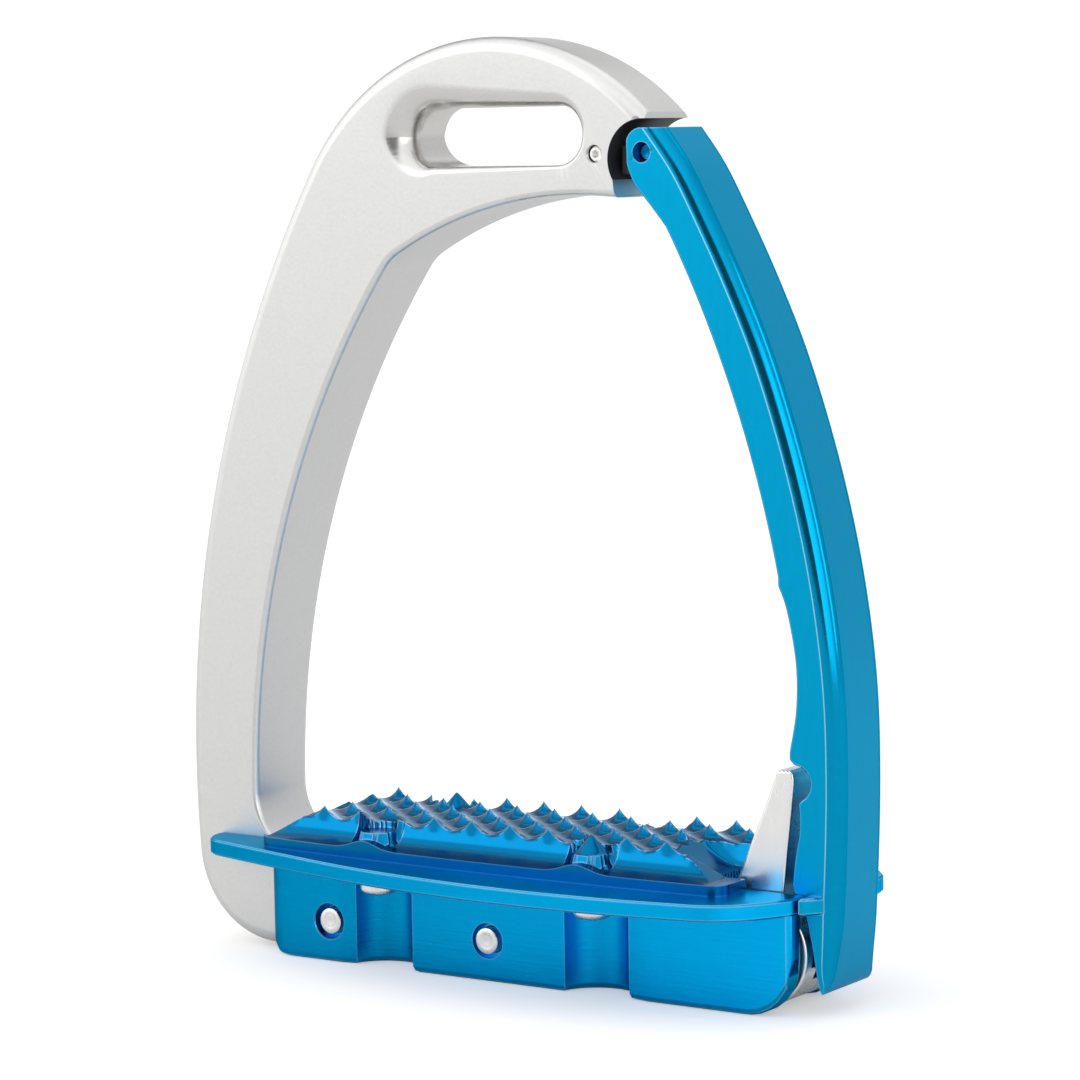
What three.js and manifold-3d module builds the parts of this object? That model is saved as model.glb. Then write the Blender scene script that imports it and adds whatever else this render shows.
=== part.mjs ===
// Hinged safety stirrup iron, right-hand, in millimetres, +Z up.
//
// A silver frame carries the leather slot, the inner branch and a bar that is pinned inside the
// footbed. The blue outer arm hangs from a knuckle at the top and is held at the bottom by a
// release lever, which the rider's foot pushes outwards. X runs along the tread towards the arm,
// Y runs to the rear, and the origin is under the middle of the footbed, on its resting face.

import * as THREE from 'three';
import { mergeVertices } from 'three/addons/utils/BufferGeometryUtils.js';
import Module from 'manifold-3d';

const wasm = await Module();
wasm.setup();

// ---- Driving dimensions -----------------------------------------------------------------------

const THICKNESS = 16.7;                 // of the frame and the arm, along Y
const HALF = THICKNESS / 2;
const EDGE = 2.8;                       // rounding of the outer edges
const GAP = 0.3;                        // between pieces that touch
const FLOOR_CLEARANCE = 1.0;            // of the frame and the arm above the footbed's base

const ARCH = { x: 0, z: 127.8, r: 48 };             // top of the outline
const SIDE = { x: 155.7, z: 35.5, r: 229 };         // long outer arc of the branch
const INNER_CORNER_R = 18.4;                        // bottom corner of the branch

const BRANCH_INSIDE = { x: 118, z: 30.5, r: 175 };  // inner face of the branch
const ARCH_INSIDE = { x: 20, z: 64.6, r: 82 };      // underside of the arch
const INSIDE_CORNER_R = 9;                          // where those two meet
const BRANCH_FOOT = { x: -47, z: 30.5, r: 11 };     // fillet from the branch to the bar
const FOOT_END_X = -47;                             // end of the frame's full thickness

const SLOT = { x: 1.5, z: 157.5, length: 38.6, height: 10.8, mouth: 1.6 };

const HINGE = { x: 34, z: 154.3 };
const KNUCKLE = { half: 4.5, r: 3.4, above: 1.2, below: 4.0, stemR: 3.0, stemEndX: 22.2 };
const RECESS = { x: 34, z: 153.1, r: 7.25 };        // clearance in the arch round the arm's ears
const LIP_X = 34.2;                                 // blunt tip of the arch above the arm
const PIN_R = 1.6;
const LEVER_PIN_R = 2.0;
const EAR = { inside: 4.8, slotR: 3.7 };

const ARM_INSIDE = { x: -155.7, z: 35.5, r: 221.3 };
const ARM_OUTSIDE = [[71.65, 9.75], [72.85, 19.6], [73.7, 41], [73.2, 60], [70.65, 79],
  [66.2, 98], [60, 117], [53.45, 132], [46.8, 145], [42.6, 152.4], [37.9, 158.7], [35.3, 161.8]];
const ARM_CORNER = { x: 67.9, z: 7.2, r: 3.2 };     // outer bottom corner of the arm
const ARM_RELIEF = [[69.2, 4.9], [68.6, 7], [67.8, 11.8], [66.5, 17.9], [65.4, 20.6], [64, 22.5],
  [63.6, 24]];
const ARM_TOP_Z = 158.7;

const BAR = { half: 3.8, z0: 2.6, z1: 16.6, endX: 33 };
const CROSS_PIN = { xs: [-37, 0], z: 7.9, r: 2.5, counterbore: 3.4, depth: 2.4, sunk: 0.4 };

const BODY = { x0: -54.5, x1: 65.3, front: 12.3, centreFront: 13.0, top: 19.1, cornerR: 8.5 };
const BODY_END = { x: 55.7, z: 9.6, r: 9.6 };       // rounded outer bottom corner of the body
const SCALLOP = { x: 24.15, y: 13, r: 6.9 };
const PLATFORM = { z0: 19.1, z1: 22.2, x0: -66, x1: 66.3, rearX: 69.8 };
const PLATFORM_EDGE = [[-61, 16], [-49, 19.3], [-24, 25.6], [-5, 28.4], [14.5, 29.5],
  [34.5, 28.5], [53.3, 25.6]];
const FORK_HALF = HALF + GAP;

const LEVER_PIVOT = { x: 56.5, z: 10.8 };
const HUB_R = 9.8;
const LEVER_HALF = 7.9;
const LATCH = { half: 3.4, x: 60.4, z0: 7.6, z1: 13.6 };
const LATCH_PIN = { x: 63.2, z: 10.6, r: 1.5, half: 5.4, room: 5.9, notch: 2.1 };
const SPRING = { x0: 38, x1: 48.2, z: 6, r: 1.9, wire: 0.8, bore: 2.7, turns: 5 };

const GRIP = { z0: 22.2, flange: 2.0, deck: 27.5, tip: 30.5, pitch: 8.6, row: 5.91, shear: 0.738 };
const SCOOP = { y0: -9.5, y1: 2.5, side: [[38, 28.5], [42, 25.8], [47, 24.3], [60, 24.3], [60, 40],
  [38, 40]] };                                      // hollow beside the lever
const SCREW = { r: 2.0, headR: 3.7, headDrop: 3.0, dome: 1.5, topZ: 26.4 };

// ---- Materials --------------------------------------------------------------------------------

const finish = (color, roughness, metalness) =>
  new THREE.MeshStandardMaterial({ color, roughness, metalness });
const silver = finish(0xd9dadb, 0.42, 1);
const blue = finish(0x0f86c6, 0.38, 1);
const deepBlue = finish(0x0b63a4, 0.24, 1);
const steel = finish(0xcfcfca, 0.3, 1);
const darkSteel = finish(0x6f7072, 0.4, 1);

// ---- Solids -----------------------------------------------------------------------------------

/** Turns a closed three.js geometry into a solid that can be cut and joined. */
function solid(geometry) {
  const bare = geometry.clone();
  for (const name of ['normal', 'uv']) bare.deleteAttribute(name);
  const merged = mergeVertices(bare, 1e-4);
  return new wasm.Manifold(new wasm.Mesh({
    numProp: 3,
    vertProperties: Float32Array.from(merged.attributes.position.array),
    triVerts: Uint32Array.from(merged.index.array),
  }));
}

/** The same outline as straight sides, without the repeated points where its curves meet. */
function sides(shape, curveSegments) {
  const kept = [];
  for (const point of shape.getPoints(curveSegments)) {
    if (!kept.length || kept[kept.length - 1].distanceTo(point) > 0.05) kept.push(point);
  }
  if (kept[0].distanceTo(kept[kept.length - 1]) < 0.05) kept.pop();
  return new THREE.Shape(kept);
}

/** A profile drawn in X and Z, given a thickness from y0 to y1 and, if asked, round edges. */
function slabY(shape, y0, y1, edge = 0, curveSegments = 8) {
  const geometry = new THREE.ExtrudeGeometry(sides(shape, curveSegments), {
    depth: y1 - y0 - 2 * edge,
    bevelEnabled: edge > 0,
    bevelThickness: edge,
    bevelSize: edge,
    bevelOffset: -edge,
    bevelSegments: 3,
  });
  geometry.translate(0, 0, edge);
  geometry.rotateX(Math.PI / 2);
  geometry.translate(0, y1, 0);
  return solid(geometry);
}

/** A plan outline drawn in X and Y, standing from z0 to z1. */
function slabZ(shape, z0, z1, curveSegments = 8) {
  const depth = z1 - z0;
  const outline = sides(shape, curveSegments);
  const geometry = new THREE.ExtrudeGeometry(outline, { depth, bevelEnabled: false });
  return solid(geometry.translate(0, 0, z0));
}

function box(x0, x1, y0, y1, z0, z1) {
  const geometry = new THREE.BoxGeometry(x1 - x0, y1 - y0, z1 - z0);
  return solid(geometry.translate((x0 + x1) / 2, (y0 + y1) / 2, (z0 + z1) / 2));
}

/** A round bar along Y at (x, z), from y0 to y1. */
function rodY(x, z, r, y0, y1, sides = 24, r1 = r) {
  const geometry = new THREE.CylinderGeometry(r1, r, y1 - y0, sides);
  return solid(geometry.translate(x, (y0 + y1) / 2, z));
}

/** A round bar along X at (y, z), from x0 to x1. */
function rodX(y, z, r, x0, x1, sides = 20) {
  const geometry = new THREE.CylinderGeometry(r, r, x1 - x0, sides).rotateZ(Math.PI / 2);
  return solid(geometry.translate((x0 + x1) / 2, y, z));
}

/** A round bar along Z at (x, y), from z0 to z1; r1 is its radius at the top. */
function rodZ(x, y, r, z0, z1, sides = 20, r1 = r) {
  const geometry = new THREE.CylinderGeometry(r1, r, z1 - z0, sides).rotateX(Math.PI / 2);
  return solid(geometry.translate(x, y, (z0 + z1) / 2));
}

const vectors = (points) => points.map(([x, y]) => new THREE.Vector2(x, y));
const polygon = (points) => new THREE.Shape(vectors(points));

/** Angle at which circle a sees circle b. */
const bearing = (a, b) => Math.atan2(b.z - a.z, b.x - a.x);

/** Upper centre of a circle of radius r that touches circles a and b from inside. */
function innerTangentCentre(a, b, r) {
  const ra = a.r - r;
  const rb = b.r - r;
  const dx = b.x - a.x;
  const dz = b.z - a.z;
  const d = Math.hypot(dx, dz);
  const along = (ra * ra - rb * rb + d * d) / (2 * d);
  const across = Math.sqrt(ra * ra - along * along);
  return {
    x: a.x + (along * dx + across * dz) / d,
    z: a.z + (along * dz - across * dx) / d,
  };
}

// ---- Frame --------------------------------------------------------------------------------------

/** Outer outline of the branch and the arch, closed off to the right of the arch's end. */
function frameOutline() {
  const z = FLOOR_CLEARANCE + INNER_CORNER_R;
  const reach = Math.sqrt((SIDE.r - INNER_CORNER_R) ** 2 - (SIDE.z - z) ** 2);
  const corner = { x: SIDE.x - reach, z };
  const archAngle = Math.atan2(ARCH.z - SIDE.z, SIDE.x);
  const cornerAngle = bearing(SIDE, corner) + 2 * Math.PI;
  const shape = new THREE.Shape();
  shape.absarc(ARCH.x, ARCH.z, ARCH.r, archAngle, Math.PI - archAngle, false);
  shape.absarc(SIDE.x, SIDE.z, SIDE.r, Math.PI - archAngle, cornerAngle, false);
  shape.absarc(corner.x, corner.z, INNER_CORNER_R, cornerAngle, 1.5 * Math.PI, false);
  shape.lineTo(ARCH.r * Math.cos(archAngle), FLOOR_CLEARANCE);
  return shape;
}

/** Everything on the branch's side of the foot opening and of the hinge recess. */
function frameRegion() {
  const corner = innerTangentCentre(BRANCH_INSIDE, ARCH_INSIDE, INSIDE_CORNER_R);
  const branchEnd = bearing(BRANCH_INSIDE, corner);
  const archStart = bearing(ARCH_INSIDE, corner);
  const archEnd = Math.acos((28.2 - ARCH_INSIDE.x) / ARCH_INSIDE.r);
  const shape = new THREE.Shape();
  shape.moveTo(LIP_X, RECESS.z + RECESS.r);
  shape.lineTo(LIP_X, 190);
  shape.lineTo(-90, 190);
  shape.lineTo(-90, -5);
  shape.lineTo(FOOT_END_X, -5);
  shape.lineTo(FOOT_END_X, BRANCH_FOOT.z - BRANCH_FOOT.r);
  shape.lineTo(BRANCH_FOOT.x, BRANCH_FOOT.z - BRANCH_FOOT.r);
  shape.absarc(BRANCH_FOOT.x, BRANCH_FOOT.z, BRANCH_FOOT.r, 1.5 * Math.PI, Math.PI, true);
  shape.absarc(BRANCH_INSIDE.x, BRANCH_INSIDE.z, BRANCH_INSIDE.r, Math.PI, branchEnd, true);
  shape.absarc(corner.x, corner.z, INSIDE_CORNER_R, branchEnd, archStart, true);
  shape.absarc(ARCH_INSIDE.x, ARCH_INSIDE.z, ARCH_INSIDE.r, archStart, archEnd, true);
  shape.absarc(RECESS.x, RECESS.z, RECESS.r, 1.17 * Math.PI, 0.5 * Math.PI, true);
  return shape;
}

function slotShape(grow) {
  const r = SLOT.height / 2 + grow;
  const reach = SLOT.length / 2 - SLOT.height / 2;
  const shape = new THREE.Shape();
  shape.absarc(SLOT.x + reach, SLOT.z, r, -Math.PI / 2, Math.PI / 2, false);
  shape.absarc(SLOT.x - reach, SLOT.z, r, Math.PI / 2, 1.5 * Math.PI, false);
  return shape;
}

/** The leather slot with a flared mouth on each face. */
function slotCutter() {
  const through = slabY(slotShape(0), -HALF - 1, HALF + 1, 0, 6);
  const flare = slabY(slotShape(SLOT.mouth + 1), HALF - SLOT.mouth, HALF + 4, SLOT.mouth + 1, 6);
  return through.add(flare).add(flare.mirror([0, 1, 0]));
}

function makeFrame() {
  const bar = box(FOOT_END_X - 6, BAR.endX, -BAR.half, BAR.half, BAR.z0, BAR.z1);
  const blank = slabY(frameOutline(), -HALF, HALF, EDGE, 9);
  let frame = blank.intersect(slabY(frameRegion(), -HALF - 1, HALF + 1, 0, 9));
  frame = frame.subtract(slotCutter()).add(bar);
  for (const x of CROSS_PIN.xs) {
    frame = frame.subtract(rodY(x, CROSS_PIN.z, CROSS_PIN.r + GAP / 2, -HALF, HALF));
  }
  const stemBore = rodX(0, HINGE.z, KNUCKLE.stemR + GAP / 2, KNUCKLE.stemEndX - GAP, 30);
  const screwBore = rodY(23.9, HINGE.z - 0.2, 1.55, -HALF - 1, -KNUCKLE.stemR + 0.6, 16);
  return frame.subtract(stemBore).subtract(screwBore);
}

/** Steel knuckle between the arm's ears; its stem is locked in the arch by the set screw. */
function makeKnuckle() {
  const eye = rodY(HINGE.x, HINGE.z, KNUCKLE.r, -KNUCKLE.half, KNUCKLE.half, 32);
  const root = RECESS.x - RECESS.r + GAP + 0.5;
  const neck = box(root, HINGE.x, -KNUCKLE.half, KNUCKLE.half, HINGE.z - KNUCKLE.below,
    HINGE.z + KNUCKLE.above);
  const stem = rodX(0, HINGE.z, KNUCKLE.stemR, KNUCKLE.stemEndX, root + 0.8);
  const wall = rodY(RECESS.x, RECESS.z, RECESS.r - GAP, -KNUCKLE.half - 1, KNUCKLE.half + 1, 48);
  const body = neck.intersect(wall).add(eye);
  const flat = box(KNUCKLE.stemEndX - 1, 26, -KNUCKLE.stemR - 1, -KNUCKLE.stemR + 0.7,
    HINGE.z - 4, HINGE.z + 4);
  const bore = rodY(HINGE.x, HINGE.z, PIN_R + 0.1, -HALF, HALF);
  return body.add(stem).subtract(flat).subtract(bore);
}

/** Cup-point grub screw with a hexagonal socket. */
function makeSetScrew() {
  const x = 23.9;
  const z = HINGE.z - 0.2;
  const tip = -KNUCKLE.stemR + 0.7 - GAP / 2;
  const outer = -HALF + 0.5;
  const socket = rodY(x, z, 0.8, outer - 1, outer + 1.6, 6);
  return rodY(x, z, 1.4, outer, tip, 16).subtract(socket);
}

// ---- Outer arm ------------------------------------------------------------------------------------

/** Outer outline of the arm, closed off well inside and above it. */
function armOutline() {
  const { x, z, r } = ARM_CORNER;
  const shape = new THREE.Shape();
  shape.moveTo(20, z - r);
  shape.lineTo(x, z - r);
  shape.absarc(x, z, r, -Math.PI / 2, -0.19, false);
  shape.splineThru(vectors(ARM_OUTSIDE));
  shape.lineTo(20, 180);
  return shape;
}

/** Everything on the arm's side of its inner face: relief, lever notch, wave, long arc and ears. */
function armRegion() {
  const at = (z) => Math.asin((z - ARM_INSIDE.z) / ARM_INSIDE.r);
  const shape = new THREE.Shape();
  shape.moveTo(33.6, ARM_TOP_Z);
  shape.lineTo(90, ARM_TOP_Z);
  shape.lineTo(90, -5);
  shape.lineTo(ARM_RELIEF[0][0] + 0.3, -5);
  shape.splineThru(vectors(ARM_RELIEF));
  shape.splineThru(vectors([[64.3, 29], [65.2, 33.8], [65.1, 38.6]]));
  shape.absarc(64.2, 42.2, 3.3, -0.35 * Math.PI, 0.5 * Math.PI, false);
  shape.lineTo(63.3, 46.4);
  shape.splineThru(vectors([[63.3, 47.8], [64.7, 55.5], [64.7, 64], [63, 73], [61.3, 77.4]]));
  shape.absarc(ARM_INSIDE.x, ARM_INSIDE.z, ARM_INSIDE.r, at(79), at(141), false);
  shape.splineThru(vectors([[36.4, 143.9], [34.3, 146.3], [32.3, 148.6], [31.1, 151.1],
    [30.7, 152.4]]));
  shape.lineTo(30.7, 156);
  shape.splineThru(vectors([[31.2, 157.3], [32.3, 158.3], [33.6, ARM_TOP_Z]]));
  return shape;
}

/** Short lug that carries the platform's front edge on round the arm. */
function armTab() {
  const shape = new THREE.Shape();
  shape.moveTo(66.9, 1 - HALF);
  shape.lineTo(66.9, -HALF - 3.6);
  shape.bezierCurveTo(68.4, -HALF - 2.6, 69.6, -HALF - 1.2, 70.6, 1 - HALF);
  return slabZ(shape, PLATFORM.z0, PLATFORM.z1, 5);
}

function makeArm() {
  const blank = slabY(armOutline(), -HALF, HALF, EDGE, 4);
  let arm = blank.intersect(slabY(armRegion(), -HALF - 1, HALF + 1, 0, 6));
  arm = arm.subtract(rodY(HINGE.x, HINGE.z, EAR.slotR, -EAR.inside, EAR.inside, 32));
  arm = arm.subtract(box(20, HINGE.x, -EAR.inside, EAR.inside, HINGE.z - 4.7, HINGE.z + 10));
  arm = arm.subtract(rodY(HINGE.x, HINGE.z, PIN_R + GAP / 2, -HALF - 1, HALF + 1));
  const lug = box(LATCH.x, 70, -LATCH.half, LATCH.half, LATCH.z0, LATCH.z1);
  const eye = rodY(LATCH_PIN.x, LATCH_PIN.z, LATCH_PIN.r + GAP / 2, -HALF, HALF, 20);
  return arm.add(lug).subtract(eye).add(armTab());
}

// ---- Footbed --------------------------------------------------------------------------------------

/** Front half of the body's plan, mirrored to the rear: three blocks with a scallop between each. */
function bodyPlan() {
  const { x0, x1, front, centreFront, cornerR } = BODY;
  const reach = (y) => Math.sqrt(SCALLOP.r ** 2 - (SCALLOP.y - y) ** 2);
  const turn = (y) => Math.atan2(SCALLOP.y - y, reach(y));
  const shape = new THREE.Shape();
  shape.moveTo(x1, -front + 0.8);
  shape.lineTo(x1, front - 0.8);
  shape.lineTo(x1 - 0.8, front);
  shape.absarc(SCALLOP.x, SCALLOP.y, SCALLOP.r, -turn(front), Math.PI + turn(centreFront), true);
  shape.absarc(-SCALLOP.x, SCALLOP.y, SCALLOP.r, -turn(centreFront), Math.PI + turn(front), true);
  shape.absarc(x0 + cornerR, front - cornerR, cornerR, Math.PI / 2, Math.PI, false);
  shape.absarc(x0 + cornerR, cornerR - front, cornerR, Math.PI, 1.5 * Math.PI, false);
  shape.absarc(-SCALLOP.x, -SCALLOP.y, SCALLOP.r, Math.PI - turn(front), turn(centreFront), true);
  shape.absarc(SCALLOP.x, -SCALLOP.y, SCALLOP.r, Math.PI - turn(centreFront), turn(front), true);
  shape.lineTo(x1 - 0.8, -front);
  return shape;
}

/** Side view of the body: rounded corners at both ends of its base. */
function bodySide() {
  const shape = new THREE.Shape();
  shape.moveTo(BODY.x0, BODY.top + 1);
  shape.lineTo(BODY.x0, 6);
  shape.absarc(BODY.x0 + 6, 6, 6, Math.PI, 1.5 * Math.PI, false);
  shape.absarc(BODY_END.x, BODY_END.z, BODY_END.r, 1.5 * Math.PI, 2 * Math.PI, false);
  shape.lineTo(BODY_END.x + BODY_END.r, BODY.top + 1);
  return shape;
}

/** The platform's plan: bowed front and rear, tight left corners and wide right ones. */
function platformPlan() {
  const { x0, x1, rearX } = PLATFORM;
  const bow = new THREE.SplineCurve(vectors(PLATFORM_EDGE))
    .getPoints(18).map(({ x, y }) => [x, y]);
  const [startX, startY] = bow[0];
  const [endX, endY] = bow[bow.length - 1];
  const shape = new THREE.Shape();
  shape.moveTo(startX, -startY);
  for (const [x, y] of bow) shape.lineTo(x, -y);
  shape.quadraticCurveTo(endX + 8, -endY + 2, x1, -HALF - 3.4);
  shape.lineTo(x1, 0);
  shape.lineTo(rearX, 0);
  shape.lineTo(rearX, HALF + 3.6);
  shape.bezierCurveTo(rearX - 0.4, 18.5, endX + 9.7, endY - 2, endX, endY);
  for (const [x, y] of bow.reverse()) shape.lineTo(x, y);
  shape.quadraticCurveTo(x0, startY - 1.7, x0, startY - 7);
  shape.lineTo(x0, -startY + 7);
  shape.quadraticCurveTo(x0, -startY + 1.7, startX, -startY);
  return shape;
}

function makeFootbed() {
  const reach = 40;
  let body = slabZ(bodyPlan(), 0, BODY.top + 0.5, 6);
  body = body.intersect(slabY(bodySide(), -reach, reach, 0, 6));
  body = body.add(slabZ(platformPlan(), PLATFORM.z0, PLATFORM.z1, 6));
  const branchNotch = box(-80, FOOT_END_X + GAP, -FORK_HALF, FORK_HALF, -5, 30);
  const filletNotch = box(-80, BRANCH_FOOT.x + 1.6, -FORK_HALF, FORK_HALF, BODY.top - 0.2, 30);
  const barPocket = box(-60, BAR.endX + 1, -BAR.half - GAP, BAR.half + GAP,
    BAR.z0 - GAP, BAR.z1 + GAP);
  const leverSlot = box(49, 80, -FORK_HALF, FORK_HALF, -5, 40)
    .add(rodY(LEVER_PIVOT.x, LEVER_PIVOT.z, HUB_R + 0.5, -FORK_HALF, FORK_HALF, 48));
  body = body.subtract(branchNotch).subtract(filletNotch).subtract(barPocket).subtract(leverSlot);
  for (const x of CROSS_PIN.xs) {
    body = body.subtract(rodY(x, CROSS_PIN.z, CROSS_PIN.r + GAP / 2, -20, 20));
    for (const side of [-1, 1]) {
      const face = x === 0 ? BODY.centreFront : BODY.front;
      const [y0, y1] = [side * (face - CROSS_PIN.depth), side * (face + 1)].sort((a, b) => a - b);
      body = body.subtract(rodY(x, CROSS_PIN.z, CROSS_PIN.counterbore, y0, y1));
    }
  }
  const { x: px, z: pz } = LEVER_PIVOT;
  body = body.subtract(rodY(px, pz, LEVER_PIN_R + GAP / 2, -BODY.front + 1.4, 20));
  body = body.subtract(rodX(0, SPRING.z, SPRING.bore, SPRING.x0, 50));
  for (const [x, y] of screwPlaces()) {
    body = body.subtract(rodZ(x, y, SCREW.r + GAP / 2, 10, 30, 16));
  }
  return body;
}

const screwPlaces = () => [[-SCALLOP.x, -SCALLOP.y], [SCALLOP.x, -SCALLOP.y],
  [-SCALLOP.x, SCALLOP.y], [SCALLOP.x, SCALLOP.y]];

/** Pin that holds the frame's bar in the footbed, with a centre mark at each end. */
function makeCrossPin(x) {
  const end = (x === 0 ? BODY.centreFront : BODY.front) - CROSS_PIN.sunk;
  let pin = rodY(x, CROSS_PIN.z, CROSS_PIN.r, -end, end);
  for (const side of [-1, 1]) {
    const [y0, y1] = [side * (end - 0.4), side * (end + 0.4)].sort((a, b) => a - b);
    pin = pin.subtract(rodY(x, CROSS_PIN.z, 0.6, y0, y1, 10));
  }
  return pin;
}

/** Domed screw that holds the grip plate down from under the platform. */
function makeTreadScrew(x, y) {
  const { r, headR, headDrop, dome, topZ } = SCREW;
  const under = PLATFORM.z0 - 0.15;
  const profile = [
    [0, topZ], [r - 0.4, topZ], [r, topZ - 0.5], [r, under], [headR, under],
    [headR, under - headDrop], [headR * 0.86, under - headDrop - dome * 0.6],
    [headR * 0.5, under - headDrop - dome], [0, under - headDrop - dome],
  ].map(([px, pz]) => new THREE.Vector2(px, pz));
  const lathe = new THREE.LatheGeometry(profile.reverse(), 16).rotateX(Math.PI / 2);
  return solid(lathe.translate(x, y, 0));
}

// ---- Grip plate -------------------------------------------------------------------------------------

/** Plan of the plate's flange: bowed long sides and a notch round the lever. */
function gripPlan(grow) {
  const shape = new THREE.Shape();
  const [x0, x1, notch] = [-50.5 - grow, 54.4 + grow, 49.2 + grow];
  const [y, bow] = [16.8 + grow, 19 + grow];
  shape.moveTo(x0, -y + 2);
  shape.lineTo(x0 + 1.5, -y);
  shape.quadraticCurveTo(10, -2 * bow + y, x1 - 2, -y);
  shape.lineTo(x1, -y + 2);
  shape.lineTo(x1, -10);
  shape.lineTo(notch, -9);
  shape.lineTo(notch, 9);
  shape.lineTo(x1, 10);
  shape.lineTo(x1, y - 2);
  shape.lineTo(x1 - 2, y);
  shape.quadraticCurveTo(10, 2 * bow - y, x0 + 1.5, y);
  shape.lineTo(x0, y - 2);
  return shape;
}

/** Where the spikes stand: five rows, each row set along by the same fraction of the pitch. */
function spikePlaces() {
  const places = [];
  for (let row = 0; row < 5; row += 1) {
    const y = (2 - row) * GRIP.row;
    for (let i = -6; i < 12; i += 1) {
      const x = -37.3 + (i + row * GRIP.shear) * GRIP.pitch;
      const blocked = screwPlaces().some(([sx, sy]) => Math.hypot(sx - x, sy - y) < 2.6);
      const scooped = x > 40.5 && y > SCOOP.y0 && y < SCOOP.y1;
      if (x > -40 && x < 47 && !blocked && !scooped) places.push([x, y]);
    }
  }
  return places;
}

function makeGripPlate() {
  const flangeTop = GRIP.z0 + GRIP.flange;
  let plate = slabZ(gripPlan(0), GRIP.z0, flangeTop, 6);
  const deckSide = polygon([[-48, flangeTop - 0.5], [52, flangeTop - 0.5], [52, 24.4], [45.5, 27.5],
    [-41, 27.5], [-45.5, 25.2], [-48, 24.6]]);
  const deckEnd = slabZ(polygon([[-60, -15.4], [60, -15.4], [60, 15.4], [-60, 15.4]]),
    GRIP.z0, 40);
  const crown = polygon([[-15.2, 20], [-15.2, 24.4], [-12.6, 27.5], [12.6, 27.5], [15.2, 24.4],
    [15.2, 20]]);
  const crownSolid = solid(new THREE.ExtrudeGeometry(crown, { depth: 120, bevelEnabled: false })
    .rotateX(Math.PI / 2).rotateZ(Math.PI / 2).translate(-60, 0, 0));
  plate = plate.add(slabY(deckSide, -20, 20).intersect(deckEnd).intersect(crownSolid));
  for (const [x, y] of spikePlaces()) {
    const spike = new THREE.ConeGeometry(3.9, GRIP.tip - GRIP.deck + 0.6, 4);
    spike.rotateX(Math.PI / 2).rotateZ(0.2).translate(x, y, (GRIP.tip + GRIP.deck - 0.6) / 2);
    plate = plate.add(solid(spike));
  }
  for (const [x, y] of screwPlaces()) {
    plate = plate.add(rodZ(x, y, 3.5, GRIP.z0 + 0.5, GRIP.deck + 0.4, 16));
    plate = plate.subtract(rodZ(x, y, SCREW.r + GAP / 2, GRIP.z0 - 1, SCREW.topZ + GAP, 16));
  }
  plate = plate.subtract(slabY(polygon(SCOOP.side), SCOOP.y0, SCOOP.y1));
  return plate.subtract(box(48.9, 60, -9, 9, 20, 35));
}

// ---- Release lever -----------------------------------------------------------------------------------

/** Side view of the lever: round hub below, tapered blade above. */
function leverSide() {
  const { x, z } = LEVER_PIVOT;
  const shape = new THREE.Shape();
  shape.moveTo(61.9, 22);
  shape.lineTo(63.9, 42.6);
  shape.lineTo(62.9, 44.4);
  shape.lineTo(60.8, 44.4);
  shape.lineTo(59.8, 43.2);
  shape.lineTo(51.6, 22.4);
  shape.lineTo(50.4, z + 7.4);
  shape.absarc(x, z, HUB_R, 0.72 * Math.PI, 2.32 * Math.PI, false);
  return shape;
}

function makeLever() {
  const { x, z } = LEVER_PIVOT;
  let lever = slabY(leverSide(), -LEVER_HALF, LEVER_HALF, 0, 12);
  lever = lever.subtract(rodY(x, z, LEVER_PIN_R + 0.1, -20, 20));
  const lugMouth = polygon([[59.8, 6.6], [70, 5.6], [70, 17], [59.8, 14.4]]);
  lever = lever.subtract(slabY(lugMouth, -LATCH.half - 0.6, LATCH.half + 0.6));
  const { x: px, z: pz, room, notch } = LATCH_PIN;
  const pinMouth = polygon([[px, pz - notch], [70, pz - notch], [70, 15], [px, pz + notch]]);
  lever = lever.subtract(rodY(px, pz, notch, -room, room, 20));
  lever = lever.subtract(slabY(pinMouth, -room, room));
  return lever.subtract(box(40, SPRING.x1, -20, 20, 0, SPRING.z + SPRING.bore + 0.6));
}

/** Spring that pushes the lower half of the hub outwards and so returns the blade. */
function makeLeverSpring() {
  const { x0, x1, z, r, wire, turns } = SPRING;
  class Coil extends THREE.Curve {
    getPoint(t, target = new THREE.Vector3()) {
      const angle = 2 * Math.PI * turns * t;
      const x = x0 + wire + (x1 - x0 - 2 * wire) * t;
      return target.set(x, r * Math.cos(angle), z + r * Math.sin(angle));
    }
  }
  const section = new THREE.Shape();
  section.absarc(0, 0, wire / 2, 0, 2 * Math.PI, false);
  return solid(new THREE.ExtrudeGeometry(section, {
    steps: turns * 12, extrudePath: new Coil(), curveSegments: 3, bevelEnabled: false,
  }));
}

// ---- Assembly -------------------------------------------------------------------------------------------

const stirrup = new THREE.Group();

function place(name, manifold, material, parent = stirrup) {
  const mesh = manifold.getMesh();
  const geometry = new THREE.BufferGeometry();
  geometry.setAttribute('position', new THREE.BufferAttribute(mesh.vertProperties, 3));
  geometry.setIndex(new THREE.BufferAttribute(mesh.triVerts, 1));
  geometry.computeVertexNormals();
  const node = new THREE.Mesh(geometry, material);
  node.name = name;
  parent.add(node);
}

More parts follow.
